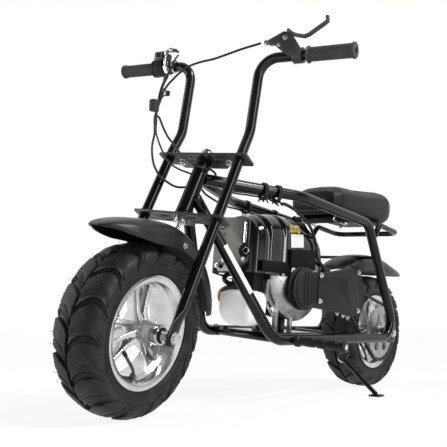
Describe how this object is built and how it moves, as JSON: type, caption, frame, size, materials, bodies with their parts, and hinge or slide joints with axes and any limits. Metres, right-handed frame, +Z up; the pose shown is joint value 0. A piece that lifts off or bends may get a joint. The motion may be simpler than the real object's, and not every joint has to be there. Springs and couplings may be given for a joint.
{
  "type": "minibike",
  "caption": "Small petrol minibike leaning on its side stand: twin tube-loop frame, chain-driven engine, lugged balloon tyres on split-spoke rims, tall bars.",
  "frame": {"origin": "floor level, under the middle of the box around the parked bike", "axes": "+Y to the rear of the bike, +X to the rider's left, +Z up; the bike leans to +X on its side stand"},
  "size_m": [0.6196, 1.2364, 0.8249],
  "materials": {
    "black_paint": "gloss black enamel",
    "satin_black": "satin black",
    "tyre_rubber": "matt moulded rubber",
    "grip_rubber": "matt ribbed rubber",
    "cast_alloy": "bright cast and machined",
    "cable_black": "black cable jacket",
    "cast_dark": "dark cast metal",
    "rough_alloy": "die cast, satin",
    "zinc_steel": "zinc plated",
    "dark_steel": "oiled steel",
    "shroud_gloss": "gloss black moulding",
    "panel_grey": "heat-proof grey-black paint",
    "tank_white": "milky moulded plastic",
    "seat_vinyl": "black vinyl"
  },
  "bodies": {
    "chassis": {"frame_loop_left": "black_paint", "frame_loop_right": "black_paint", "head_tube": "black_paint", "engine_cradle": "black_paint", "frame_cross_rear": "black_paint", "dropout_left": "black_paint", "dropout_right": "black_paint", "rear_axle": "zinc_steel", "seat_pad": "seat_vinyl", "seat_pan": "satin_black", "seat_hoop": "black_paint", "engine_block": "cast_dark", "engine_shroud": "shroud_gloss", "muffler_guard": "panel_grey", "clutch_housing": "rough_alloy", "chain_case": "satin_black", "fuel_tank": "tank_white", "fuel_cap": "satin_black", "recoil_starter": "satin_black", "air_filter_box": "satin_black", "drive_chain": "dark_steel", "rear_fender": "satin_black", "foot_peg_left": "satin_black", "foot_peg_right": "satin_black", "brake_calliper": "rough_alloy", "stand_bracket": "black_paint", "stand_bolt": "zinc_steel", "brake_cable": "cable_black", "throttle_cable": "cable_black", "switch_cable": "cable_black", "cable_sleeve": "cable_black", "carburettor": "rough_alloy"},
    "steer": {"lower_plate": "black_paint", "upper_plate": "black_paint", "fork_leg_left": "black_paint", "fork_leg_right": "black_paint", "steering_stem": "zinc_steel", "front_axle": "zinc_steel", "handlebar_left": "black_paint", "handlebar_right": "black_paint", "grip_left": "grip_rubber", "grip_right": "grip_rubber", "brake_lever_clamp": "satin_black", "brake_lever": "satin_black", "throttle_housing": "satin_black", "front_fender": "satin_black"},
    "front_wheel": {"front_tyre": "tyre_rubber", "front_rim": "cast_alloy"},
    "rear_wheel": {"rear_tyre": "tyre_rubber", "rear_rim": "cast_alloy", "rear_sprocket": "dark_steel", "brake_disc": "zinc_steel"},
    "side_stand": {"side_stand": "black_paint"}
  },
  "joints": [
    {"name": "steering", "type": "hinge", "parent": "chassis", "child": "steer", "pos_m": [-0.04275, -0.37109, 0.34827], "axis": [0.0964, 0.3752, 0.9219], "range_deg": [-37.73, 14.27], "deforming": ["brake_cable", "throttle_cable", "switch_cable"]},
    {"name": "front_wheel_spin", "type": "hinge", "parent": "steer", "child": "front_wheel", "pos_m": [-0.06043, -0.45426, 0.164], "axis": [0.9659, 0.1884, -0.1777], "continuous": true},
    {"name": "rear_wheel_spin", "type": "hinge", "parent": "chassis", "child": "rear_wheel", "pos_m": [-0.06195, 0.43199, 0.16472], "axis": [0.9946, 0, -0.104], "continuous": true},
    {"name": "side_stand_fold", "type": "hinge", "parent": "chassis", "child": "side_stand", "pos_m": [-0.00324, 0.20983, 0.09159], "axis": [0.6562, -0.1168, 0.7455], "range_deg": [0, 88]}
  ]
}
